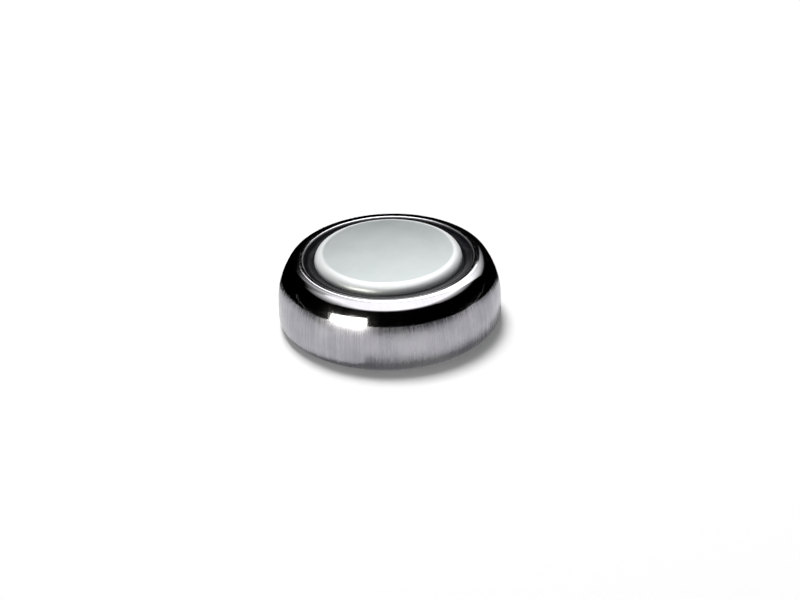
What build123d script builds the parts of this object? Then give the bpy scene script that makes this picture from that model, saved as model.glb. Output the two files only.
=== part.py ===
from build123d import *
from math import acos, cos, degrees, radians, sin, sqrt
import os

# A button cell of the 43 size, standing on its positive can with the negative cap up.
# Every piece is turned about Z. The origin is the centre of the can's base.
# Sections are drawn on the XZ plane as half sections, with the axis at x = 0.

# ---- driving sizes, mm ----

# whole cell
can_diameter = 11.6
cell_height = 4.15
fit_gap = 0.02  # left between pieces that are pressed together in the real cell

# positive can: one drawn cup, its mouth rolled in over the gasket
can_wall = 0.25
base_bend = 0.45  # inside radius where the base turns up into the side
shoulder_radius = 3.9  # large outside arc that draws the side in
crimp_bend = 0.5  # inside radius of the rolled mouth
crimp_inset = 1.19  # from the can's side in to the crest of the roll
crest_drop = 0.42  # the crest of the roll is this far below the cap's face
lip_turn = 18.0  # degrees that the mouth turns down past its crest
lip_round = 0.06  # on both corners of the lip's cut edge

# negative cap: one stepped cup, its rim folded back up outside the skirt
cap_wall = 0.22
cap_bend = 0.25  # inside radius at the edge of the cap's face
ledge_bend = 0.13  # inside radius of the two bends of the ledge
skirt_height = 1.35  # from the top of the ledge down to the bottom of the fold
fold_slit = 0.05  # open slit left between the two layers of the folded rim
fold_step = 0.08  # the folded rim ends this far below the bend of the ledge

# sealing gasket: nylon ring that fills the space between the two cups
ring_width = 0.53  # seen between the lip and the cap
ring_recess = 0.12  # the seen ring is this far below the crest of the roll
ring_bulge = 0.05  # squeezed nylon swells up in the middle of the ring
lip_squeeze = 0.38  # nylon left between the lip and the ledge
side_squeeze = 0.58  # nylon left between the can's straight side and the folded rim
foot_height = 0.3  # nylon under the fold
heel_width = 0.25  # inner wall of the groove that holds the fold
heel_height = 0.35

# what the two cups hold
sleeve_wall = 0.2
sleeve_flange = 0.6  # width of the sleeve's flat top
film_thickness = 0.1
pad_thickness = 0.3

# ---- worked out from them ----

can_radius = can_diameter / 2
bore_radius = can_radius - can_wall
gasket_radius = bore_radius - fit_gap
base_radius = base_bend + can_wall
crimp_radius = crimp_bend + can_wall
crest_height = cell_height - crest_drop
lip_angle = 90 + lip_turn

# the shoulder's arc and the crimp's arc meet where both have turned this far from the side
shoulder_turn = degrees(acos((shoulder_radius - crimp_inset) / (shoulder_radius - crimp_radius)))
shoulder_height = crest_height - crimp_radius - (shoulder_radius - crimp_radius) * sin(radians(shoulder_turn))
shoulder_centre = (can_radius - shoulder_radius, shoulder_height)
crimp_centre = (can_radius - crimp_inset, crest_height - crimp_radius)
base_centre = (can_radius - base_radius, base_radius)

lip_radius = crimp_centre[0] + crimp_radius * cos(radians(lip_angle))
cap_radius = lip_radius - ring_width
skirt_radius = bore_radius - side_squeeze
leg_radius = skirt_radius - cap_wall - fold_slit
heel_radius = leg_radius - cap_wall - fit_gap
heel_bore = heel_radius - heel_width

ledge_height = crimp_centre[1] + crimp_bend * sin(radians(lip_angle)) - lip_squeeze
fold_radius = cap_wall + fold_slit / 2
fold_centre = (leg_radius + fold_slit / 2, ledge_height - skirt_height + fold_radius)
fold_top = ledge_height - ledge_bend - cap_wall - fold_step
groove_floor = fold_centre[1] - fold_radius - fit_gap
ring_height = crest_height - ring_recess

foot_bottom = groove_floor - foot_height
heel_top = fold_centre[1] + heel_height
film_bottom = foot_bottom - fit_gap - film_thickness
pellet_top = film_bottom - fit_gap
pellet_bottom = can_wall + fit_gap
pad_bottom = film_bottom + film_thickness + fit_gap

# the film, the sleeve and the pellet's step clear the can where its shoulder has begun to draw in
film_rise = max(0, film_bottom + film_thickness - shoulder_height)
filling_radius = shoulder_centre[0] + sqrt((shoulder_radius - can_wall) ** 2 - film_rise**2) - fit_gap
sleeve_bore = filling_radius - sleeve_wall
flange_bore = filling_radius - sleeve_flange
flange_bottom = pellet_top - sleeve_wall
sleeve_bottom = base_radius + fit_gap
anode_bottom = pad_bottom + pad_thickness + fit_gap
anode_radius = cap_radius - cap_wall - fit_gap

# centres of the cap's bends: the edge of its face, the foot of its riser, the top of its skirt
face_centre = (cap_radius - cap_bend - cap_wall, cell_height - cap_bend - cap_wall)
riser_centre = (cap_radius + ledge_bend, ledge_height + ledge_bend)
skirt_centre = (leg_radius - ledge_bend - cap_wall, ledge_height - ledge_bend - cap_wall)


def polar(centre, radius, angle):
    """Give the point at a radius and an angle in degrees about a centre."""
    return (centre[0] + radius * cos(radians(angle)), centre[1] + radius * sin(radians(angle)))


def can_floor(depth):
    """Draw the can's base and bottom bend, a depth inside its outer skin, outwards from the axis."""
    Line((0, depth), (base_centre[0], depth))
    CenterArc(base_centre, base_radius - depth, -90, 90)


def can_shoulder(depth):
    """Draw the can's shoulder and rolled mouth, a depth inside its outer skin, and give the last arc."""
    CenterArc(shoulder_centre, shoulder_radius - depth, 0, shoulder_turn)
    return CenterArc(crimp_centre, crimp_radius - depth, shoulder_turn, lip_angle - shoulder_turn)


def cap_face(depth):
    """Draw the cap's face and its edge, a depth inside its outer skin, outwards from the axis."""
    Line((0, cell_height - depth), (face_centre[0], cell_height - depth))
    CenterArc(face_centre, cap_bend + cap_wall - depth, 90, -90)


def cap_ledge(depth):
    """Draw the cap's ledge between its two bends, a depth inside its outer skin, outwards."""
    CenterArc(riser_centre, ledge_bend + depth, 180, 90)
    Line((riser_centre[0], ledge_height - depth), (skirt_centre[0], ledge_height - depth))
    CenterArc(skirt_centre, ledge_bend + cap_wall - depth, 90, -90)


# ---- positive can ----
with BuildPart() as positive_can:
    with BuildSketch(Plane.XZ) as can_section:
        with BuildLine():
            can_floor(0)
            Line((can_radius, base_radius), (can_radius, shoulder_height))
            outer_roll = can_shoulder(0)
            inner_roll = can_shoulder(can_wall)
            Line(outer_roll @ 1, inner_roll @ 1)
            Line((bore_radius, shoulder_height), (bore_radius, base_radius))
            can_floor(can_wall)
            Line((0, can_wall), (0, 0))
        make_face()
        fillet(can_section.vertices().sort_by_distance(outer_roll @ 1)[:2], lip_round)
    revolve(axis=Axis.Z)
positive_can.part.label = "positive_can"

# ---- negative cap: the rim turns out under the skirt and comes back up outside it ----
with BuildPart() as negative_cap:
    with BuildSketch(Plane.XZ):
        with BuildLine():
            cap_face(0)
            Line((cap_radius, face_centre[1]), (cap_radius, riser_centre[1]))
            cap_ledge(0)
            Line((leg_radius, skirt_centre[1]), (leg_radius, fold_centre[1]))
            CenterArc(fold_centre, fold_slit / 2, 180, 180)
            Polyline(
                (leg_radius + fold_slit, fold_centre[1]),
                (leg_radius + fold_slit, fold_top),
                (skirt_radius, fold_top),
                (skirt_radius, fold_centre[1]),
            )
            CenterArc(fold_centre, fold_radius, 0, -180)
            Line((leg_radius - cap_wall, fold_centre[1]), (leg_radius - cap_wall, skirt_centre[1]))
            cap_ledge(cap_wall)
            Line((cap_radius - cap_wall, riser_centre[1]), (cap_radius - cap_wall, face_centre[1]))
            cap_face(cap_wall)
            Line((0, cell_height - cap_wall), (0, cell_height))
        make_face()
    revolve(axis=Axis.Z)
negative_cap.part.label = "negative_cap"

# ---- sealing gasket: fills the space between the cups and holds the fold in its groove ----
roll_end = polar(crimp_centre, crimp_bend - fit_gap, lip_angle)
lip_foot = polar(roll_end, fit_gap, lip_angle + 90)
lip_rise = (ring_height - lip_foot[1]) / sin(radians(lip_angle))
ring_outside = polar(lip_foot, lip_rise, lip_angle)
ring_inside = (cap_radius + fit_gap, ring_height)
with BuildPart() as sealing_gasket:
    with BuildSketch(Plane.XZ):
        with BuildLine():
            Line((gasket_radius, base_radius), (gasket_radius, shoulder_height))
            can_shoulder(can_wall + fit_gap)
            Polyline(roll_end, lip_foot, ring_outside)
            SagittaArc(ring_outside, ring_inside, -ring_bulge)
            Line(ring_inside, (ring_inside[0], riser_centre[1]))
            cap_ledge(-fit_gap)
            Polyline(
                (leg_radius + fit_gap, skirt_centre[1]),
                (leg_radius + fit_gap, fold_top + fit_gap),
                (skirt_radius + fit_gap, fold_top + fit_gap),
                (skirt_radius + fit_gap, fold_centre[1]),
            )
            CenterArc(fold_centre, fold_radius + fit_gap, 0, -180)
            Polyline(
                (heel_radius, fold_centre[1]),
                (heel_radius, heel_top),
                (heel_bore, heel_top),
                (heel_bore, base_radius),
                (gasket_radius, base_radius),
            )
        make_face()
    revolve(axis=Axis.Z)
    split(bisect_by=Plane.XY.offset(foot_bottom), keep=Keep.TOP)
sealing_gasket.part.label = "sealing_gasket"

# ---- cathode pellet: pressed into the bottom of the can, stepped to take the sleeve ----
with BuildPart() as cathode_pellet:
    with BuildSketch(Plane.XZ):
        with BuildLine():
            can_floor(can_wall + fit_gap)
            Polyline(
                (gasket_radius, base_radius),
                (sleeve_bore - fit_gap, base_radius),
                (sleeve_bore - fit_gap, flange_bottom - fit_gap),
                (flange_bore - fit_gap, flange_bottom - fit_gap),
                (flange_bore - fit_gap, pellet_top),
                (0, pellet_top),
                (0, pellet_bottom),
            )
        make_face()
    revolve(axis=Axis.Z)
cathode_pellet.part.label = "cathode_pellet"

# ---- cathode sleeve: angle-section ring let in flush with the pellet's top ----
with BuildPart() as cathode_sleeve:
    with BuildSketch(Plane.XZ):
        with BuildLine():
            Polyline(
                (sleeve_bore, sleeve_bottom),
                (filling_radius, sleeve_bottom),
                (filling_radius, pellet_top),
                (flange_bore, pellet_top),
                (flange_bore, flange_bottom),
                (sleeve_bore, flange_bottom),
                close=True,
            )
        make_face()
    revolve(axis=Axis.Z)
cathode_sleeve.part.label = "cathode_sleeve"

# ---- barrier film: spans the can under the gasket's foot ----
with BuildPart() as barrier_film:
    with BuildSketch(Plane.XY.offset(film_bottom)):
        Circle(filling_radius)
    extrude(amount=film_thickness)
barrier_film.part.label = "barrier_film"

# ---- absorbent pad: lies on the film inside the gasket's foot ----
with BuildPart() as absorbent_pad:
    with BuildSketch(Plane.XY.offset(pad_bottom)):
        Circle(heel_bore - fit_gap)
    extrude(amount=pad_thickness)
absorbent_pad.part.label = "absorbent_pad"

# ---- zinc anode: gel that fills the cap down to the pad ----
with BuildPart() as zinc_anode:
    with BuildSketch(Plane.XZ):
        with BuildLine():
            cap_face(cap_wall + fit_gap)
            Line((anode_radius, face_centre[1]), (anode_radius, riser_centre[1]))
            cap_ledge(cap_wall + fit_gap)
            Polyline(
                (heel_radius, skirt_centre[1]),
                (heel_radius, heel_top + fit_gap),
                (heel_bore - fit_gap, heel_top + fit_gap),
                (heel_bore - fit_gap, anode_bottom),
                (0, anode_bottom),
                (0, cell_height - cap_wall - fit_gap),
            )
        make_face()
    revolve(axis=Axis.Z)
zinc_anode.part.label = "zinc_anode"

os.makedirs("parts", exist_ok=True)
export_step(positive_can.part, "parts/positive_can.step")
export_step(negative_cap.part, "parts/negative_cap.step")
export_step(sealing_gasket.part, "parts/sealing_gasket.step")
export_step(cathode_pellet.part, "parts/cathode_pellet.step")
export_step(cathode_sleeve.part, "parts/cathode_sleeve.step")
export_step(barrier_film.part, "parts/barrier_film.step")
export_step(absorbent_pad.part, "parts/absorbent_pad.step")
export_step(zinc_anode.part, "parts/zinc_anode.step")
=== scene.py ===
"""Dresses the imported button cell, whose can, seal and cap are remade as smooth turned shells."""

from math import acos, cos, degrees, pi, radians, sin, tan
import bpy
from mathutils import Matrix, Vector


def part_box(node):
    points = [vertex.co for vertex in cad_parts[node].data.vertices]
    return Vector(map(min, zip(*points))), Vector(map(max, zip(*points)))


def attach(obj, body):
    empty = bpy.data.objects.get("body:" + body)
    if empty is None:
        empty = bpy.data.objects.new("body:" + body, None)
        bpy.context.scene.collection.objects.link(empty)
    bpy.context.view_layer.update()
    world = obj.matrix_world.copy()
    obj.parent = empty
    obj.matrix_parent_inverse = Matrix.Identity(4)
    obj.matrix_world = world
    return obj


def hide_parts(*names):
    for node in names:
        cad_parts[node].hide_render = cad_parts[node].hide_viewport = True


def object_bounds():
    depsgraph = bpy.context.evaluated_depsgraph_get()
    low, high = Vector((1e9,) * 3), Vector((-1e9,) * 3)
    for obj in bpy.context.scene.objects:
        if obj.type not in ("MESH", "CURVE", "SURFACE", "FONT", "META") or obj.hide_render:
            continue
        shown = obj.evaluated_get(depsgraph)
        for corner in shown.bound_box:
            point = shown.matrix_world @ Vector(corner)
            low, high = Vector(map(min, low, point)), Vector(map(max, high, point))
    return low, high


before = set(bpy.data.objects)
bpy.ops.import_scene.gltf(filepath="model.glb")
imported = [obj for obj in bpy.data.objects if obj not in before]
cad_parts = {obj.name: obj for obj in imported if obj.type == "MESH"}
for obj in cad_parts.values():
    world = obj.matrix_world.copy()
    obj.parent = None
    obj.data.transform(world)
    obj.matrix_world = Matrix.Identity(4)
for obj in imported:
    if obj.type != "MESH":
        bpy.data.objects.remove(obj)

from types import SimpleNamespace

import bmesh
import bpy
from bpy.props import FloatProperty, FloatVectorProperty, PointerProperty
from mathutils import Matrix, Quaternion, Vector

bl_info = {
    "name": "Button Cell",
    "version": (1, 0, 0),
    "blender": (4, 5, 0),
    "location": "View3D > Sidebar > Button Cell",
    "description": "Turned shells, finishes and a small studio for a sealed button cell",
    "category": "Object",
}

CAD_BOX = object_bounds()
CAN_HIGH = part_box("positive_can")[1]
SEAL_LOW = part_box("sealing_gasket")[0]
CAP_LOW, CAP_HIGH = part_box("negative_cap")

MM = 0.001
ROUND_STEPS = 256  # around every turned shell
SHARP_ANGLE = radians(32)  # edges that bend more than this are shaded as edges
MERGE_DISTANCE = 1e-8  # points nearer than this become one
SLIVER_LENGTH = 1e-9  # edges shorter than this are dissolved
EDGE_HOLD = 0.02 * MM  # points this near the ends of a straight stretch keep it shaded straight
PLAIN_WHITE = (1.0, 1.0, 1.0)


# ---- what a user can change ----


def length(name, description, millimetres):
    """Give a property that holds a length, from its default in millimetres."""
    return FloatProperty(
        name=name,
        description=description,
        default=millimetres * MM,
        min=0.0,
        precision=6,
        unit="LENGTH",
    )


def colour(name, description, rgb):
    """Give a property that holds a linear colour."""
    return FloatVectorProperty(
        name=name,
        description=description,
        default=(*rgb, 1.0),
        size=4,
        min=0.0,
        max=1.0,
        subtype="COLOR",
    )


def amount(name, description, default):
    """Give a property that holds a plain number."""
    return FloatProperty(name=name, description=description, default=default, min=0.0)


def angle(name, description, turned):
    """Give a property that holds an angle, from its default in degrees."""
    return FloatProperty(
        name=name,
        description=description,
        default=radians(turned),
        subtype="ANGLE",
    )


class CellSizes(bpy.types.PropertyGroup):
    """Lengths of the three shells that show"""

    can_radius: length("Can radius", "Outside of the can's straight side", CAN_HIGH.x / MM)
    can_height: length("Crest height", "Top of the can's rolled mouth", CAN_HIGH.z / MM)
    can_wall: length("Can wall", "Thickness of the can's sheet", 0.25)
    base_bend: length("Base bend", "Outside radius where the base turns up", 0.70)
    shoulder_bend: length("Shoulder bend", "Large radius that draws the side in", 3.9)
    crimp_bend: length("Crimp bend", "Outside radius of the rolled mouth", 0.75)
    crimp_inset: length("Crimp inset", "From the side in to the crest of the roll", 1.19)
    lip_turn: angle("Lip turn", "How far the mouth turns down past its crest", 18.0)
    lip_round: length("Lip rounding", "On both corners of the cut edge", 0.06)

    cap_height: length("Cap height", "Top of the cap's face", CAP_HIGH.z / MM)
    cap_wall: length("Cap wall", "Thickness of the cap's sheet", 0.22)
    cap_bend: length("Cap bend", "Outside radius at the edge of the face", 0.47)
    face_crown: length("Face crown", "How far the face falls towards its edge", 0.055)
    ledge_bend: length("Ledge bend", "Small radius of both bends of the ledge", 0.13)
    skirt_radius: length("Skirt radius", "Outside of the cap's folded rim", CAP_HIGH.x / MM)
    skirt_foot: length("Skirt foot", "Height of the bottom of the fold", CAP_LOW.z / MM)
    skirt_height: length("Skirt height", "From the fold up to the ledge", 1.35)
    fold_slit: length("Fold slit", "Between the two layers of the folded rim", 0.05)
    fold_step: length("Fold step", "From the ledge's bend down to the rim's end", 0.08)

    ring_width: length("Ring width", "Nylon seen between the lip and the cap", 0.53)
    ring_recess: length("Ring recess", "From the crest of the roll down to the ring", 0.12)
    ring_bulge: length("Ring bulge", "How far the squeezed nylon swells", 0.05)
    seam_gap: length("Seam", "Hairline left where the pieces meet", 0.004)
    seal_foot: length("Seal foot", "Bottom of the seal", SEAL_LOW.z / MM)
    heel_width: length("Heel width", "Inner wall of the seal's groove", 0.25)
    heel_height: length("Heel height", "From the fold's centre up to the top of that wall", 0.35)

    mark_size: length("Mark size", "Across the plus sign pressed into the base", 2.6)
    mark_stroke: length("Mark stroke", "Width of the plus sign's arms", 0.42)
    mark_depth: length("Mark depth", "How deep the plus sign is pressed", 0.05)


class CellFinishes(bpy.types.PropertyGroup):
    """Colours and polish of every piece"""

    plate_light: colour("Plate, light", "Bright nickel on the can", (0.760, 0.748, 0.780))
    plate_dark: colour("Plate, dull", "Duller patches of the can's nickel", (0.680, 0.671, 0.712))
    # the side's two colours are the same nickel painted darker than the shoulder's: a satin side
    # with painted shade
    side_shaded_light: colour("Side, light", "Satin nickel on the can's side", (0.450, 0.442, 0.472))
    side_shaded_dark: colour("Side, dull", "Duller patches of the can's side", (0.300, 0.296, 0.330))
    # near black: partly dull cut steel, partly painted shade on the lip's inner edge
    cut_steel_and_shade: colour("Cut steel", "Dull steel of the mouth's cut edge", (0.10, 0.10, 0.105))
    cut_roughness: amount("Cut roughness", "Gloss of the mouth's cut edge", 0.45)
    plate_roughness: amount("Plate roughness", "Gloss of the can's burnished shoulder", 0.07)
    side_roughness: amount("Side roughness", "Gloss of the can's satin side and base", 0.26)
    polish_start: angle("Polish start", "Turn of the shoulder where its burnish begins", 20.0)
    satin_light: colour("Satin, light", "Pale satin nickel on the cap", (0.660, 0.695, 0.690))
    satin_dark: colour("Satin, dull", "Duller grain of the cap", (0.580, 0.622, 0.630))
    satin_roughness: amount("Satin roughness", "Gloss of the cap's face", 0.44)
    # the edge colour, metal and gloss below paint a highlight round the cap's face; the edge is
    # not rubbed bright
    painted_rim_highlight: colour("Edge", "Bright nickel where the cap's edge is rubbed", (0.96, 0.98, 0.98))
    edge_roughness: amount("Edge roughness", "Gloss of the cap's rubbed edge", 0.38)
    edge_metal: amount("Edge metal", "How metallic the cap's rubbed edge is", 0.30)
    nylon: colour("Nylon", "Dark nylon of the seal", (0.002, 0.002, 0.003))
    nylon_roughness: amount("Nylon roughness", "Gloss of the seal", 0.22)
    nylon_sheen: amount("Nylon sheen", "Strength of the seal's reflections", 0.22)
    oxide: colour("Oxide", "Pressed powder of the cathode", (0.030, 0.030, 0.034))
    membrane: colour("Membrane", "Barrier film", (0.70, 0.62, 0.44))
    felt: colour("Felt", "Soaked pad", (0.74, 0.74, 0.70))
    gel: colour("Gel", "Zinc gel of the anode", (0.20, 0.21, 0.23))


class StudioSettings(bpy.types.PropertyGroup):
    """Camera, floor and lights"""

    lens: amount("Lens", "Focal length of the camera in millimetres", 250.0)
    view_width: length("View width", "Width of the view at the cell", 41.65)
    camera_height: angle("Camera height", "Elevation of the camera", 29.05)
    camera_roll: angle("Camera roll", "Tilt of the horizon", -2.0)
    aim_right: length("Aim right", "The camera aims this far to the right of the cell", 0.56)
    aim_down: length("Aim down", "The camera aims this far below the cell", 0.776)
    floor: colour("Floor", "Pale floor", (0.80, 0.80, 0.80))
    floor_lift: amount("Floor lift", "Glow that lifts the floor around the shadow", 0.11)
    overhead: amount("Overhead", "What the softbox overhead adds in the metal", 0.35)
    window: amount("Window", "Brightness of the front left softbox in the metal", 8.0)
    key: amount("Key", "Brightness of the lamp that casts the shadow", 26.0)
    surround: amount("Surround", "Light from all round on matt surfaces", 0.16)


# ---- layout of the section, all on the XZ plane ----


def polar(centre, radius, turned):
    """Give the point at a radius and an angle about a centre, as (x, z)."""
    return (centre[0] + radius * cos(turned), centre[1] + radius * sin(turned))


def cell_layout(sizes):
    """Work out the centres and levels that the three shells share."""
    s = SimpleNamespace()
    s.lip_angle = pi / 2 + sizes.lip_turn
    s.base_centre = (sizes.can_radius - sizes.base_bend, sizes.base_bend)
    spread = sizes.shoulder_bend - sizes.crimp_bend
    s.shoulder_bend = sizes.shoulder_bend
    s.shoulder_turn = acos((sizes.shoulder_bend - sizes.crimp_inset) / spread)
    s.crimp_centre = (sizes.can_radius - sizes.crimp_inset, sizes.can_height - sizes.crimp_bend)
    s.shoulder_centre = (
        sizes.can_radius - sizes.shoulder_bend,
        s.crimp_centre[1] - spread * sin(s.shoulder_turn),
    )
    s.lip_radius = s.crimp_centre[0] + sizes.crimp_bend * cos(s.lip_angle)
    s.cap_radius = s.lip_radius - sizes.ring_width
    s.face_radius = s.cap_radius - sizes.cap_bend
    s.face_centre = (s.face_radius, sizes.cap_height - sizes.face_crown - sizes.cap_bend)
    s.ledge_height = sizes.skirt_foot + sizes.skirt_height
    s.leg_radius = sizes.skirt_radius - sizes.cap_wall - sizes.fold_slit
    s.riser_centre = (s.cap_radius + sizes.ledge_bend, s.ledge_height + sizes.ledge_bend)
    s.ledge_bend_out = sizes.ledge_bend + sizes.cap_wall
    s.skirt_centre = (s.leg_radius - s.ledge_bend_out, s.ledge_height - s.ledge_bend_out)
    s.fold_radius = sizes.cap_wall + sizes.fold_slit / 2
    s.fold_centre = (s.leg_radius + sizes.fold_slit / 2, sizes.skirt_foot + s.fold_radius)
    s.fold_top = s.skirt_centre[1] - sizes.fold_step
    s.ring_height = sizes.can_height - sizes.ring_recess
    return s


# ---- drawing a section and turning it ----


class Section:
    """A section drawn point by point, ready to be turned about Z."""

    def __init__(self, x, z):
        """Start the section at one point."""
        self.bm = bmesh.new()
        self.first = self.last = self.bm.verts.new((x, 0, z))

    def line(self, x, z, hold=0.0):
        """Draw a straight stretch, with a point near each end too where hold is given."""
        start = self.last.co.copy()
        end = Vector((x, 0, z))
        step = (end - start).normalized() * hold
        stops = [start + step, end - step, end] if hold else [end]
        for stop in stops:
            made = bmesh.ops.extrude_vert_indiv(self.bm, verts=[self.last])
            bmesh.ops.translate(self.bm, verts=made["verts"], vec=stop - self.last.co)
            self.last = made["verts"][0]

    def arc(self, centre, turned, steps):
        """Draw an arc about a centre, anticlockwise where turned is positive."""
        made = bmesh.ops.spin(
            self.bm,
            geom=[self.last],
            cent=(centre[0], 0, centre[1]),
            axis=(0, -1, 0),
            angle=turned,
            steps=steps,
            use_merge=False,
        )
        self.last = next(v for v in made["geom_last"] if isinstance(v, bmesh.types.BMVert))

    def turn(self, name):
        """Turn the section about Z into a closed shell and give its object."""
        bm = self.bm
        bmesh.ops.remove_doubles(bm, verts=bm.verts, dist=MERGE_DISTANCE)
        bmesh.ops.spin(
            bm,
            geom=bm.verts[:] + bm.edges[:],
            cent=(0, 0, 0),
            axis=(0, 0, 1),
            angle=2 * pi,
            steps=ROUND_STEPS,
            use_merge=True,
        )
        bmesh.ops.remove_doubles(bm, verts=bm.verts, dist=MERGE_DISTANCE)
        bmesh.ops.dissolve_degenerate(bm, edges=bm.edges, dist=SLIVER_LENGTH)
        bmesh.ops.recalc_face_normals(bm, faces=bm.faces)
        for face in bm.faces:
            face.smooth = True
        mesh = bpy.data.meshes.new(name)
        bm.to_mesh(mesh)
        bm.free()
        mesh.set_sharp_from_angle(angle=SHARP_ANGLE)
        piece = bpy.data.objects.new(name, mesh)
        bpy.context.scene.collection.objects.link(piece)
        return piece


def dress(piece, material, node):
    """Give a shell its finish and tie it to the frame."""
    piece.data.materials.append(material)
    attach(piece, "root")
    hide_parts(node)


# ---- finishes, with places and lengths in millimetres ----


class Finish:
    """A node material that is built up from the piece's own coordinates."""

    def __init__(self, name):
        """Start a material with its shader and the piece's coordinates."""
        self.material = bpy.data.materials.new(name)
        self.material.use_nodes = True
        self.nodes = self.material.node_tree.nodes
        self.links = self.material.node_tree.links
        self.shader = self.nodes["Principled BSDF"]
        place = self.nodes.new("ShaderNodeTexCoord").outputs["Object"]
        self.place = self.vector("MULTIPLY", place, (1 / MM,) * 3)

    def wire(self, socket, value):
        """Link a socket to another one, or set it to a plain value."""
        if isinstance(value, bpy.types.NodeSocket):
            self.links.new(value, socket)
        else:
            socket.default_value = value

    def vector(self, operation, first, second=None, output="Vector"):
        """Do vector arithmetic."""
        node = self.nodes.new("ShaderNodeVectorMath")
        node.operation = operation
        self.wire(node.inputs[0], first)
        if second is not None:
            self.wire(node.inputs[1], second)
        return node.outputs[output]

    def math(self, operation, first, second=0.0, third=0.0):
        """Do arithmetic on plain numbers."""
        node = self.nodes.new("ShaderNodeMath")
        node.operation = operation
        for socket, value in zip(node.inputs, (first, second, third)):
            self.wire(socket, value)
        return node.outputs[0]

    def noise(self, place, scale, detail, roughness=0.5):
        """Give smooth noise from 0 to 1."""
        node = self.nodes.new("ShaderNodeTexNoise")
        self.wire(node.inputs["Vector"], place)
        node.inputs["Scale"].default_value = scale
        node.inputs["Detail"].default_value = detail
        node.inputs["Roughness"].default_value = roughness
        return node.outputs["Fac"]

    def cells(self, place, scale):
        """Give the distance to the nearest of many scattered points."""
        node = self.nodes.new("ShaderNodeTexVoronoi")
        self.wire(node.inputs["Vector"], place)
        node.inputs["Scale"].default_value = scale
        return node.outputs["Distance"]

    def spread(self, value, low, high, to_low=0.0, to_high=1.0, smooth=False):
        """Map a range of numbers onto another, and clamp it."""
        node = self.nodes.new("ShaderNodeMapRange")
        node.interpolation_type = "SMOOTHSTEP" if smooth else "LINEAR"
        for socket, number in zip(node.inputs, (value, low, high, to_low, to_high)):
            self.wire(socket, number)
        return node.outputs["Result"]

    def blend(self, factor, first, second):
        """Go from one number to another as the factor goes from 0 to 1."""
        return self.spread(factor, 0.0, 1.0, first, second)

    def vary(self, value, by, low, high, down, up):
        """Add to a number: down where the pattern is at its low, up where it is at its high."""
        return self.math("ADD", value, self.spread(by, low, high, down, up))

    def mix(self, factor, first, second):
        """Blend two colours."""
        node = self.nodes.new("ShaderNodeMix")
        node.data_type = "RGBA"
        self.wire(node.inputs["Factor"], factor)
        self.wire(node.inputs["A"], first)
        self.wire(node.inputs["B"], second)
        return node.outputs["Result"]

    def bump(self, height, depth, under=None):
        """Give normals from a height that is as deep as given."""
        node = self.nodes.new("ShaderNodeBump")
        node.inputs["Distance"].default_value = depth * MM
        self.wire(node.inputs["Height"], height)
        if under is not None:
            self.wire(node.inputs["Normal"], under)
        return node.outputs["Normal"]

    def flat_place(self):
        """Give the place with its height dropped, to measure from the axis."""
        return self.vector("MULTIPLY", self.place, (1.0, 1.0, 0.0))

    def axis_distance(self):
        """Give the distance from the axis."""
        return self.vector("LENGTH", self.flat_place(), output="Value")

    def height(self):
        """Give the height above the base."""
        node = self.nodes.new("ShaderNodeSeparateXYZ")
        self.wire(node.inputs[0], self.place)
        return node.outputs["Z"]

    def around(self, turns, rise):
        """Give a place that changes quickly around the axis and slowly up it."""
        bearing = self.vector("NORMALIZE", self.flat_place())
        ring = self.vector("MULTIPLY", bearing, (turns,) * 3)
        climb = self.vector("MULTIPLY", self.place, (0.0, 0.0, rise))
        return self.vector("ADD", ring, climb)

    def set(self, **values):
        """Fill the shader's sockets, by names with underscores for spaces."""
        for name, value in values.items():
            self.wire(self.shader.inputs[name.replace("_", " ")], value)
        return self.material


def shade(tone, factor):
    """Give a colour made darker or lighter."""
    return (*(part * factor for part in tone[:3]), 1.0)


def plate_finish(finishes, layout):
    """Make nickel plate, satin up the drawn side and burnished where the mouth was rolled; the
    side's nickel is also painted darker, as painted shade.
    """
    f = Finish("bright_nickel_plate")
    patches = f.noise(f.place, scale=0.45, detail=3.0)
    lines = f.noise(f.around(turns=42.0, rise=0.16), scale=1.0, detail=4.0, roughness=0.62)
    grain = f.noise(f.place, scale=24.0, detail=2.0)
    tone = f.spread(f.math("MULTIPLY_ADD", lines, 0.45, patches), low=0.55, high=0.90)
    bright = f.mix(tone, tuple(finishes.plate_dark), tuple(finishes.plate_light))
    # dull: the side's nickel, satin and painted darker as shade
    dull = f.mix(tone, tuple(finishes.side_shaded_dark), tuple(finishes.side_shaded_light))

    # the burnish begins at a slightly uneven level on the shoulder; below it the nickel is also
    # painted darker, as painted shade
    start = layout.shoulder_centre[1] + layout.shoulder_bend * sin(finishes.polish_start)
    level = f.math("MULTIPLY_ADD", patches, 0.06, f.height())
    burnish = f.spread(level, low=start / MM - 0.03, high=start / MM + 0.07, smooth=True)
    gloss = f.blend(burnish, finishes.side_roughness, finishes.plate_roughness)
    gloss = f.vary(gloss, lines, low=0.3, high=0.75, down=-0.02, up=0.035)
    gloss = f.vary(gloss, patches, low=0.3, high=0.7, down=-0.01, up=0.02)

    # the cut edge of the mouth is near black, partly dull cut steel and partly painted shade over
    # the lip's inner edge: it is the innermost of the can's upper half
    lip = layout.lip_radius / MM
    inmost = f.spread(f.axis_distance(), lip + 0.06, lip + 0.13, 1.0, 0.0, smooth=True)
    cut = f.math("MULTIPLY", inmost, f.spread(f.height(), low=2.0, high=3.0))
    return f.set(
        Base_Color=f.mix(cut, f.mix(burnish, dull, bright), tuple(finishes.cut_steel_and_shade)),
        Metallic=1.0,
        Roughness=f.blend(cut, gloss, finishes.cut_roughness),
        Normal=f.bump(grain, depth=0.00035, under=f.bump(lines, depth=0.0009)),
    )


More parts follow.
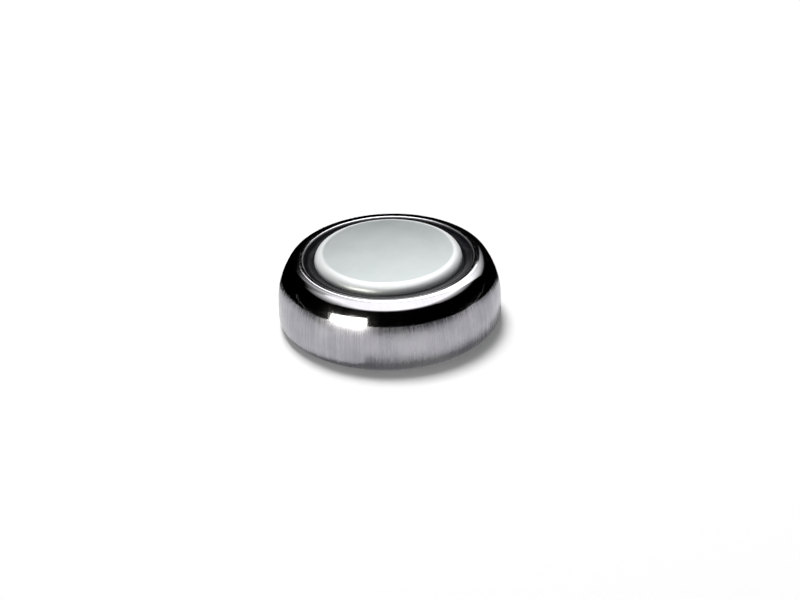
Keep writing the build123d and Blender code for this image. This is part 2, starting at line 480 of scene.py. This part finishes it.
def satin_finish(finishes, layout):
    """Make satin nickel, painted near white and mostly non-metallic where the face turns down at
    its edge: a painted highlight.
    """
    f = Finish("satin_nickel")
    mottle = f.noise(f.place, scale=0.75, detail=4.0, roughness=0.6)
    grain = f.noise(f.place, scale=30.0, detail=3.0, roughness=0.65)
    rim = layout.face_radius / MM
    # painted highlight: towards the face's edge the colour turns near white and mostly
    # non-metallic
    edge = f.spread(f.axis_distance(), low=rim - 0.06, high=rim + 0.12, smooth=True)
    tone = f.spread(f.math("MULTIPLY_ADD", grain, 0.35, mottle), low=0.42, high=0.95)
    satin = f.mix(tone, tuple(finishes.satin_dark), tuple(finishes.satin_light))
    gloss = f.vary(finishes.satin_roughness, mottle, low=0.3, high=0.7, down=-0.03, up=0.03)
    return f.set(
        Base_Color=f.mix(edge, satin, tuple(finishes.painted_rim_highlight)),
        Metallic=f.blend(edge, 1.0, finishes.edge_metal),
        Roughness=f.blend(edge, gloss, finishes.edge_roughness),
        Normal=f.bump(grain, depth=0.0012),
    )


def nylon_finish(finishes):
    """Make dark moulded nylon with a slight sheen."""
    f = Finish("dark_nylon")
    grain = f.noise(f.place, scale=14.0, detail=3.0)
    wide = f.noise(f.place, scale=1.6, detail=2.0)
    gloss = f.vary(finishes.nylon_roughness, wide, low=0.3, high=0.7, down=-0.05, up=0.06)
    return f.set(
        Base_Color=f.mix(wide, tuple(finishes.nylon), shade(finishes.nylon, 2.2)),
        Roughness=gloss,
        Specular_IOR_Level=finishes.nylon_sheen,
        Normal=f.bump(grain, depth=0.002),
    )


def filling_finish(name, tone, scale, depth, roughness, metallic=0.0):
    """Make a matt powder, felt, film or gel: grains of its own colour on a rough surface."""
    f = Finish(name)
    grains = f.cells(f.place, scale)
    cloud = f.noise(f.place, scale=scale * 0.2, detail=3.0)
    mixed = f.spread(f.math("MULTIPLY_ADD", grains, 0.5, cloud), low=0.35, high=0.95)
    return f.set(
        Base_Color=f.mix(mixed, shade(tone, 0.6), tuple(tone)),
        Metallic=metallic,
        Roughness=f.vary(roughness, cloud, low=0.3, high=0.7, down=-0.08, up=0.08),
        Normal=f.bump(grains, depth),
    )


# ---- operators, one for each piece ----


class CELL_OT_can(bpy.types.Operator):
    """Turn the can: base, straight side, shoulder and the mouth rolled in over the seal"""

    bl_idname = "cell.can"
    bl_label = "Positive Can"

    def execute(self, context):
        """Draw the can's section, turn it and press the polarity mark into its base."""
        sizes = context.scene.cell_sizes
        s = cell_layout(sizes)
        wall = sizes.can_wall
        corner_round = sizes.lip_round
        roll = s.lip_angle - s.shoulder_turn
        # the cut edge's corners are rounded by arcs that meet the roll and the cut squarely
        outer_turn = roll - corner_round / (sizes.crimp_bend - corner_round)
        inner_bend = sizes.crimp_bend - wall
        inner_turn = roll - corner_round / (inner_bend + corner_round)
        outer_end = s.shoulder_turn + outer_turn
        outer_corner = polar(s.crimp_centre, sizes.crimp_bend - corner_round, outer_end)
        inner_end = s.shoulder_turn + inner_turn
        inner_corner = polar(s.crimp_centre, inner_bend + corner_round, inner_end)
        cut_foot = polar(inner_corner, corner_round, inner_end + pi / 2)

        # outside, from the middle of the base to the mouth, then inside and back
        section = Section(0, 0)
        section.line(s.base_centre[0], 0, hold=EDGE_HOLD)
        section.arc(s.base_centre, pi / 2, steps=20)
        section.line(sizes.can_radius, s.shoulder_centre[1], hold=EDGE_HOLD)
        section.arc(s.shoulder_centre, s.shoulder_turn, steps=36)
        section.arc(s.crimp_centre, outer_turn, steps=44)
        section.arc(outer_corner, pi / 2, steps=8)
        section.line(*cut_foot)
        section.arc(inner_corner, pi / 2, steps=8)
        section.arc(s.crimp_centre, -inner_turn, steps=20)
        section.arc(s.shoulder_centre, -s.shoulder_turn, steps=16)
        section.line(sizes.can_radius - wall, sizes.base_bend)
        section.arc(s.base_centre, -pi / 2, steps=10)
        section.line(0, wall)
        can = section.turn("can_shell")
        self.press_mark(can, sizes)
        finish = plate_finish(context.scene.cell_finishes, s)
        dress(can, finish, "positive_can")
        return {"FINISHED"}

    def press_mark(self, can, sizes):
        """Press a plus sign into the underside with a punch of its shape."""
        bm = bmesh.new()
        bmesh.ops.create_grid(bm, x_segments=1, y_segments=1, size=sizes.mark_stroke / 2)
        arm = (sizes.mark_size - sizes.mark_stroke) / 2
        for edge in list(bm.edges):
            middle = (edge.verts[0].co + edge.verts[1].co) / 2
            made = bmesh.ops.extrude_edge_only(bm, edges=[edge])
            moved = [v for v in made["geom"] if isinstance(v, bmesh.types.BMVert)]
            bmesh.ops.translate(bm, verts=moved, vec=middle.normalized() * arm)
        bmesh.ops.translate(bm, verts=bm.verts, vec=(0, 0, -sizes.mark_depth))
        raised = bmesh.ops.extrude_face_region(bm, geom=bm.faces[:])
        top = [v for v in raised["geom"] if isinstance(v, bmesh.types.BMVert)]
        bmesh.ops.translate(bm, verts=top, vec=(0, 0, 2 * sizes.mark_depth))
        bmesh.ops.recalc_face_normals(bm, faces=bm.faces)
        mesh = bpy.data.meshes.new("mark_punch")
        bm.to_mesh(mesh)
        bm.free()
        punch = bpy.data.objects.new("mark_punch", mesh)
        bpy.context.scene.collection.objects.link(punch)
        cut = can.modifiers.new("mark", "BOOLEAN")
        cut.operation = "DIFFERENCE"
        cut.solver = "EXACT"
        cut.object = punch
        bpy.context.view_layer.update()
        evaluated = can.evaluated_get(bpy.context.evaluated_depsgraph_get())
        pressed = bpy.data.meshes.new_from_object(evaluated)
        can.modifiers.clear()
        can.data = pressed
        bpy.data.objects.remove(punch)
        pressed.set_sharp_from_angle(angle=SHARP_ANGLE)


class CELL_OT_seal(bpy.types.Operator):
    """Turn the nylon seal that fills the space between the two shells"""

    bl_idname = "cell.seal"
    bl_label = "Sealing Ring"

    def execute(self, context):
        """Draw the seal's section and turn it."""
        sizes = context.scene.cell_sizes
        s = cell_layout(sizes)
        gap = sizes.seam_gap
        outer_radius = sizes.can_radius - sizes.can_wall - gap
        shoulder = sizes.shoulder_bend - sizes.can_wall - gap
        below = s.shoulder_centre[1] - sizes.seal_foot
        roll = s.lip_angle - s.shoulder_turn
        heel_radius = s.leg_radius - sizes.cap_wall - gap
        heel_top = s.fold_centre[1] + sizes.heel_height

        if below < 0:
            # the foot is above where the shoulder begins, so its outside starts up the arc
            start = -below / shoulder
            section = Section(*polar(s.shoulder_centre, shoulder, start))
            section.arc(s.shoulder_centre, s.shoulder_turn - start, steps=20)
        else:
            section = Section(outer_radius, sizes.seal_foot)
            section.line(outer_radius, s.shoulder_centre[1])
            section.arc(s.shoulder_centre, s.shoulder_turn, steps=20)
        section.arc(s.crimp_centre, roll, steps=24)

        # the ring that shows swells between the lip and the cap
        last = section.last.co
        lip = polar((last.x, last.z), gap * 2, s.lip_angle + pi / 2)
        section.line(*lip)
        outside = polar(lip, (s.ring_height - lip[1]) / sin(s.lip_angle), s.lip_angle)
        section.line(*outside)
        inside = s.cap_radius + gap
        half = (outside[0] - inside) / 2
        bend = (half**2 + sizes.ring_bulge**2) / (2 * sizes.ring_bulge)
        centre = ((outside[0] + inside) / 2, s.ring_height + sizes.ring_bulge - bend)
        section.arc(centre, 2 * acos((bend - sizes.ring_bulge) / bend), steps=24)

        # down along the cap, around its fold and over the heel to the foot
        section.line(inside, s.riser_centre[1])
        section.arc(s.riser_centre, pi / 2, steps=8)
        section.line(s.skirt_centre[0], s.ledge_height + gap)
        section.arc(s.skirt_centre, -pi / 2, steps=10)
        section.line(s.leg_radius + gap, s.fold_top + gap)
        section.line(sizes.skirt_radius + gap, s.fold_top + gap)
        section.line(sizes.skirt_radius + gap, s.fold_centre[1])
        section.arc(s.fold_centre, -pi, steps=20)
        section.line(heel_radius, heel_top)
        section.line(heel_radius - sizes.heel_width, heel_top)
        section.line(heel_radius - sizes.heel_width, sizes.seal_foot)
        section.line(section.first.co.x, section.first.co.z)
        seal = section.turn("seal_ring")
        dress(seal, nylon_finish(context.scene.cell_finishes), "sealing_gasket")
        return {"FINISHED"}


class CELL_OT_cap(bpy.types.Operator):
    """Turn the cap: face, edge with a painted highlight, riser, ledge and folded skirt"""

    bl_idname = "cell.cap"
    bl_label = "Negative Cap"

    def execute(self, context):
        """Draw the cap's section and turn it."""
        sizes = context.scene.cell_sizes
        s = cell_layout(sizes)
        wall = sizes.cap_wall
        crown_bend = (s.face_radius**2 + sizes.face_crown**2) / (2 * sizes.face_crown)
        crown_centre = (0, sizes.cap_height - crown_bend)
        crown_turn = acos((crown_bend - sizes.face_crown) / crown_bend)

        # outside, from the middle of the face to the rim's end
        section = Section(0, sizes.cap_height)
        section.arc(crown_centre, -crown_turn, steps=40)
        section.arc(s.face_centre, -pi / 2, steps=28)
        section.line(s.cap_radius, s.riser_centre[1], hold=EDGE_HOLD)
        section.arc(s.riser_centre, pi / 2, steps=10)
        section.line(s.skirt_centre[0], s.ledge_height)
        section.arc(s.skirt_centre, -pi / 2, steps=10)
        section.line(s.leg_radius, s.fold_centre[1])
        section.arc(s.fold_centre, pi, steps=8)
        section.line(s.leg_radius + sizes.fold_slit, s.fold_top)

        # around the fold and back up inside
        section.line(sizes.skirt_radius, s.fold_top)
        section.line(sizes.skirt_radius, s.fold_centre[1])
        section.arc(s.fold_centre, -pi, steps=18)
        section.line(s.leg_radius - wall, s.skirt_centre[1])
        section.arc(s.skirt_centre, pi / 2, steps=8)
        section.line(s.riser_centre[0], s.ledge_height - wall)
        section.arc(s.riser_centre, -pi / 2, steps=8)
        section.line(s.cap_radius - wall, s.face_centre[1])
        section.arc(s.face_centre, pi / 2, steps=12)
        section.line(0, s.face_centre[1] + sizes.cap_bend - wall)
        cap = section.turn("cap_shell")
        finish = satin_finish(context.scene.cell_finishes, s)
        dress(cap, finish, "negative_cap")
        return {"FINISHED"}


class CELL_OT_fillings(bpy.types.Operator):
    """Give the pieces sealed inside the cell their finishes"""

    bl_idname = "cell.fillings"
    bl_label = "Fillings"

    def execute(self, context):
        """Put a finish on each piece that stays as it was packed."""
        finishes = context.scene.cell_finishes
        layout = cell_layout(context.scene.cell_sizes)
        looks = {
            "cathode_pellet": filling_finish(
                "pressed_oxide", finishes.oxide, scale=12.0, depth=0.02, roughness=0.72
            ),
            "cathode_sleeve": plate_finish(finishes, layout),
            "barrier_film": filling_finish(
                "membrane", finishes.membrane, scale=5.0, depth=0.002, roughness=0.40
            ),
            "absorbent_pad": filling_finish(
                "soaked_felt", finishes.felt, scale=16.0, depth=0.03, roughness=0.62
            ),
            "zinc_anode": filling_finish(
                "zinc_gel", finishes.gel, scale=9.0, depth=0.03, roughness=0.38, metallic=0.55
            ),
        }
        for node, material in looks.items():
            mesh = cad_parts[node].data
            mesh.materials.clear()
            mesh.materials.append(material)
        return {"FINISHED"}


class CELL_OT_studio(bpy.types.Operator):
    """Set up the pale floor, the lights with their dark flags, and the camera"""

    bl_idname = "cell.studio"
    bl_label = "Studio"

    reach = 0.5  # metres from the cell to the curved cards
    card_top = 54.0  # elevation of their top edge in degrees
    # name, left and right bearing, elevation where the glow starts to climb, its least and most
    cards = (
        ("front_card", -70, 60, 39, 0.0, 1.33),
        ("left_card", -125, -70, 34, 0.0, 0.8),
        ("back_left_card", -152, -125, 38, 0.0, 0.47),
        ("right_card", 60, 128, 34, 0.0, 1.0),
        ("back_right_card", 128, 168, 18, 0.0, 2.7),
        ("back_card", 168, 186, 16, 0.03, 6.0),
        ("back_corner_card", 186, 208, 32, 0.02, 1.2),
    )

    # the warm softbox, by the bearing and distance of its two sides and by its heights in metres
    window_near = (-25.2, 0.30)
    window_far = (-62.8, 0.465)
    window_foot = 0.026
    window_top = 0.116
    window_tint = (1.0, 0.985, 0.90)

    # name, left, right, near and far edge in millimetres
    sheets = (
        ("dark_sheet_left", -400.0, -6.0, 4.5, 400.0),
        ("dark_sheet_right", 6.0, 400.0, 4.5, 400.0),
        ("dark_sheet_back_left", -6.0, 0.8, 11.0, 400.0),
        ("dark_sheet_back_right", 5.0, 6.0, 11.0, 400.0),
        ("dark_sheet_front_left", -400.0, -28.0, -60.0, 4.5),
    )
    sheet_lift = 0.03  # millimetres that whatever lies on the floor stands above it

    # the painted contact shadow at the foot, in millimetres, with a place on each cut and the side
    # cut away
    painted_shadow_radius = 7.1
    painted_shadow_middle = (-0.4, -0.35)
    painted_shadow_cuts = (((-2.0, 0, 0), (-1, 0, 0)), ((0, 1.0, 0), (0, 1, 0)))
    painted_shadow_glow = 0.28

    def execute(self, context):
        """Build the studio around the cell."""
        self.studio = studio = context.scene.cell_studio
        self.floor()
        self.world()
        for card in self.cards:
            self.card(*card)
        self.window_card()
        self.near_card()
        for sheet in self.sheets:
            self.dark_sheet(*sheet)
        self.foot_shade()
        self.lamp(
            "overhead_softbox",
            place=Vector((0.05, -0.13, 0.55)),
            wide=0.75,
            tall=0.80,
            radiance=studio.overhead,
            down=True,
            diffuse=False,
        )
        self.lamp(
            "key_lamp",
            place=self.direction(-158, 69, 0.6),
            wide=0.22,
            tall=0.22,
            radiance=studio.key,
            glossy=False,
        )
        self.camera()
        return {"FINISHED"}

    @staticmethod
    def direction(azimuth, elevation, reach):
        """Give a point by its bearing from the camera's side, its elevation and its distance."""
        az = radians(azimuth)
        el = radians(elevation)
        return Vector((sin(az) * cos(el), -cos(az) * cos(el), sin(el))) * reach

    def stage_piece(self, name, bm, material):
        """Make a stage mesh with its material."""
        mesh = bpy.data.meshes.new(name)
        bm.to_mesh(mesh)
        bm.free()
        piece = bpy.data.objects.new(name, mesh)
        piece.data.materials.append(material)
        bpy.context.scene.collection.objects.link(piece)
        return piece

    def glow_material(self, name, dark, bright, low=0.0, high=1.0, tint=PLAIN_WHITE):
        """Give a glow that climbs from dark to bright between two heights in metres."""
        f = Finish(name)
        f.nodes.remove(f.shader)
        glow = f.nodes.new("ShaderNodeEmission")
        glow.inputs["Color"].default_value = (*tint, 1.0)
        level = f.spread(f.height(), low / MM, high / MM, dark, bright)
        f.wire(glow.inputs["Strength"], level)
        f.links.new(glow.outputs[0], f.nodes["Material Output"].inputs["Surface"])
        return f.material

    def hide(self, piece):
        """Leave a piece to reflections alone."""
        piece.visible_camera = False
        piece.visible_diffuse = False
        piece.visible_shadow = False

    def card(self, name, left, right, start, dark, bright):
        """Stand a curved card between two bearings, dark up to an elevation and brighter above."""
        climb, top = (self.reach * tan(radians(turned)) for turned in (start, self.card_top))
        foot = self.direction(left, 0, self.reach)
        bm = bmesh.new()
        bm.edges.new([bm.verts.new(corner) for corner in (foot, foot + Vector((0, 0, top)))])
        bmesh.ops.spin(
            bm,
            geom=bm.verts[:] + bm.edges[:],
            cent=(0, 0, 0),
            axis=(0, 0, 1),
            angle=radians(right - left),
            steps=48,
            use_merge=False,
        )
        glow = self.glow_material(name, dark, bright, low=climb, high=top)
        self.hide(self.stage_piece(name, bm, glow))

    def window_card(self):
        """Stand the flat warm softbox that the shoulder mirrors at the front left."""
        near = self.direction(self.window_near[0], 0, self.window_near[1])
        far = self.direction(self.window_far[0], 0, self.window_far[1])
        foot = Vector((0, 0, self.window_foot))
        top = Vector((0, 0, self.window_top))
        corners = (near + foot, far + foot, far + top, near + top)
        bm = bmesh.new()
        bm.faces.new([bm.verts.new(corner) for corner in corners])
        level = self.studio.window
        glow = self.glow_material("window_card", level, level, tint=self.window_tint)
        self.hide(self.stage_piece("window_card", bm, glow))

    def near_card(self):
        """Stand a low dark card close behind the cell, which shades the back of its face."""
        wide = 0.050
        tall = 0.0132
        bm = bmesh.new()
        bmesh.ops.create_grid(bm, x_segments=1, y_segments=1, size=0.5)
        bmesh.ops.rotate(bm, verts=bm.verts, matrix=Matrix.Rotation(pi / 2, 3, "X"))
        bmesh.ops.scale(bm, verts=bm.verts, vec=(wide, 1.0, tall))
        bmesh.ops.translate(bm, verts=bm.verts, vec=(-0.017, 0.015, tall / 2))
        self.hide(self.stage_piece("near_card", bm, self.glow_material("near_card", 0.0, 0.0)))

    def dark_sheet(self, name, left, right, near, far):
        """Lay a dark sheet on the floor that only the metal reflects."""
        size = Vector((right - left, far - near, 1.0))
        middle = Vector(((left + right) / 2, (near + far) / 2, self.sheet_lift))
        bm = bmesh.new()
        bmesh.ops.create_grid(bm, x_segments=1, y_segments=1, size=0.5)
        bmesh.ops.scale(bm, verts=bm.verts, vec=size * MM)
        bmesh.ops.translate(bm, verts=bm.verts, vec=middle * MM)
        self.hide(self.stage_piece(name, bm, self.glow_material(name, 0.0, 0.0)))

    def foot_shade(self):
        """Lay a grey sheet close around the foot at the front right, a painted contact shadow seen
        only in the side.
        """
        middle = Vector((*self.painted_shadow_middle, self.sheet_lift))
        bm = bmesh.new()
        bmesh.ops.create_circle(bm, cap_ends=True, segments=96, radius=self.painted_shadow_radius * MM)
        bmesh.ops.translate(bm, verts=bm.verts, vec=middle * MM)
        for place, outwards in self.painted_shadow_cuts:
            bmesh.ops.bisect_plane(
                bm,
                geom=bm.verts[:] + bm.edges[:] + bm.faces[:],
                plane_co=Vector(place) * MM,
                plane_no=outwards,
                clear_outer=True,
            )
        glow = self.glow_material("foot_shade", self.painted_shadow_glow, self.painted_shadow_glow)
        self.hide(self.stage_piece("foot_shade", bm, glow))

    def lamp(self, name, place, wide, tall, radiance, down=False, glossy=True, diffuse=True):
        """Hang a rectangular lamp, which faces the cell or points straight down."""
        light = bpy.data.lights.new(name, "AREA")
        light.shape = "RECTANGLE"
        light.size = wide
        light.size_y = tall
        light.energy = radiance * pi * wide * tall
        holder = bpy.data.objects.new(name, light)
        holder.location = place
        holder.rotation_mode = "QUATERNION"
        holder.rotation_quaternion = Quaternion() if down else (-place).to_track_quat("-Z", "Y")
        bpy.context.scene.collection.objects.link(holder)
        holder.visible_camera = False
        holder.visible_glossy = glossy
        holder.visible_diffuse = diffuse

    def seen_rays(self, tree):
        """Give 1 for rays from the camera, from gloss and through glass, and 0 for the rest."""
        path = tree.nodes.new("ShaderNodeLightPath")
        seen = path.outputs["Is Camera Ray"]
        for other in ("Is Glossy Ray", "Is Transmission Ray"):
            both = tree.nodes.new("ShaderNodeMath")
            both.operation = "MAXIMUM"
            tree.links.new(seen, both.inputs[0])
            tree.links.new(path.outputs[other], both.inputs[1])
            seen = both.outputs[0]
        return seen

    def world(self):
        """Surround the cell with white, dimmer where it lights matt surfaces."""
        world = bpy.data.worlds.new("white_surround")
        bpy.context.scene.world = world
        world.use_nodes = True
        tree = world.node_tree
        back = tree.nodes["Background"]
        back.inputs["Color"].default_value = (1.0, 1.0, 1.0, 1.0)
        level = tree.nodes.new("ShaderNodeMapRange")
        tree.links.new(self.seen_rays(tree), level.inputs["Value"])
        level.inputs["To Min"].default_value = self.studio.surround
        level.inputs["To Max"].default_value = 1.0
        tree.links.new(level.outputs["Result"], back.inputs["Strength"])

    def floor(self):
        """Lay a wide pale floor that shows the soft shadow near the cell and is white far off."""
        wide = 3.0  # metres from the cell to its edge
        white_from = 30.0  # millimetres from the cell to where it starts to turn white
        white_at = 90.0
        bm = bmesh.new()
        bmesh.ops.create_circle(bm, cap_ends=True, segments=96, radius=wide)
        f = Finish("pale_floor")
        grain = f.noise(f.place, 0.6, detail=3.0)
        f.set(Base_Color=tuple(self.studio.floor), Roughness=0.9, Specular_IOR_Level=0.0)
        f.set(Normal=f.bump(grain, 0.01))
        white = f.nodes.new("ShaderNodeEmission")
        far = f.spread(f.axis_distance(), white_from, white_at, smooth=True)
        lift = f.nodes.new("ShaderNodeEmission")
        lift.inputs["Strength"].default_value = self.studio.floor_lift
        near = f.nodes.new("ShaderNodeAddShader")
        f.links.new(f.shader.outputs[0], near.inputs[0])
        f.links.new(lift.outputs[0], near.inputs[1])
        blend = f.nodes.new("ShaderNodeMixShader")
        f.links.new(far, blend.inputs[0])
        f.links.new(near.outputs[0], blend.inputs[1])
        f.links.new(white.outputs[0], blend.inputs[2])
        choose = f.nodes.new("ShaderNodeMixShader")
        f.links.new(self.seen_rays(f.material.node_tree), choose.inputs[0])
        f.links.new(f.shader.outputs[0], choose.inputs[1])
        f.links.new(blend.outputs[0], choose.inputs[2])
        f.links.new(choose.outputs[0], f.nodes["Material Output"].inputs["Surface"])
        self.stage_piece("pale_floor", bm, f.material)

    def camera(self):
        """Stand a long lens at the viewing angle."""
        studio = self.studio
        lens = bpy.data.cameras.new("camera")
        lens.type = "PERSP"
        lens.lens = studio.lens
        lens.sensor_width = 36.0
        lens.clip_start = 0.01
        lens.clip_end = 10.0
        distance = studio.view_width * studio.lens / lens.sensor_width
        centre = (CAD_BOX[0] + CAD_BOX[1]) / 2
        back = self.direction(0, degrees(studio.camera_height), 1.0)
        turned = (-back).to_track_quat("-Z", "Y") @ Quaternion((0, 0, 1), studio.camera_roll)
        right = turned @ Vector((1, 0, 0))
        up = turned @ Vector((0, 1, 0))
        aim = centre + right * studio.aim_right - up * studio.aim_down
        holder = bpy.data.objects.new("camera", lens)
        holder.rotation_mode = "QUATERNION"
        holder.rotation_quaternion = turned
        holder.location = aim + back * distance
        bpy.context.scene.collection.objects.link(holder)
        bpy.context.scene.camera = holder
        bpy.context.scene.view_settings.view_transform = "Standard"


class CELL_PT_panel(bpy.types.Panel):
    """Lists the pieces of the cell and their settings"""

    bl_idname = "CELL_PT_panel"
    bl_label = "Button Cell"
    bl_space_type = "VIEW_3D"
    bl_region_type = "UI"
    bl_category = "Button Cell"

    def draw(self, context):
        """Draw one button for each piece, then the settings."""
        for made in OPERATORS:
            self.layout.operator(made.bl_idname)
        for held, kind in GROUPS.items():
            box = self.layout.box()
            for name in kind.__annotations__:
                box.prop(getattr(context.scene, held), name)


GROUPS = {"cell_sizes": CellSizes, "cell_finishes": CellFinishes, "cell_studio": StudioSettings}
OPERATORS = (CELL_OT_can, CELL_OT_seal, CELL_OT_cap, CELL_OT_fillings, CELL_OT_studio)


def register():
    """Register the classes and hang the settings on the scene."""
    for made in (*GROUPS.values(), *OPERATORS, CELL_PT_panel):
        bpy.utils.register_class(made)
    for name, group in GROUPS.items():
        setattr(bpy.types.Scene, name, PointerProperty(type=group))


def unregister():
    """Take the settings and the classes away again."""
    for name in GROUPS:
        delattr(bpy.types.Scene, name)
    for made in (CELL_PT_panel, *reversed(OPERATORS), *reversed(tuple(GROUPS.values()))):
        bpy.utils.unregister_class(made)


def main():
    """Make every piece."""
    register()
    for made in OPERATORS:
        group, name = made.bl_idname.split(".")
        getattr(getattr(bpy.ops, group), name)()


if __name__ == "__main__":
    main()
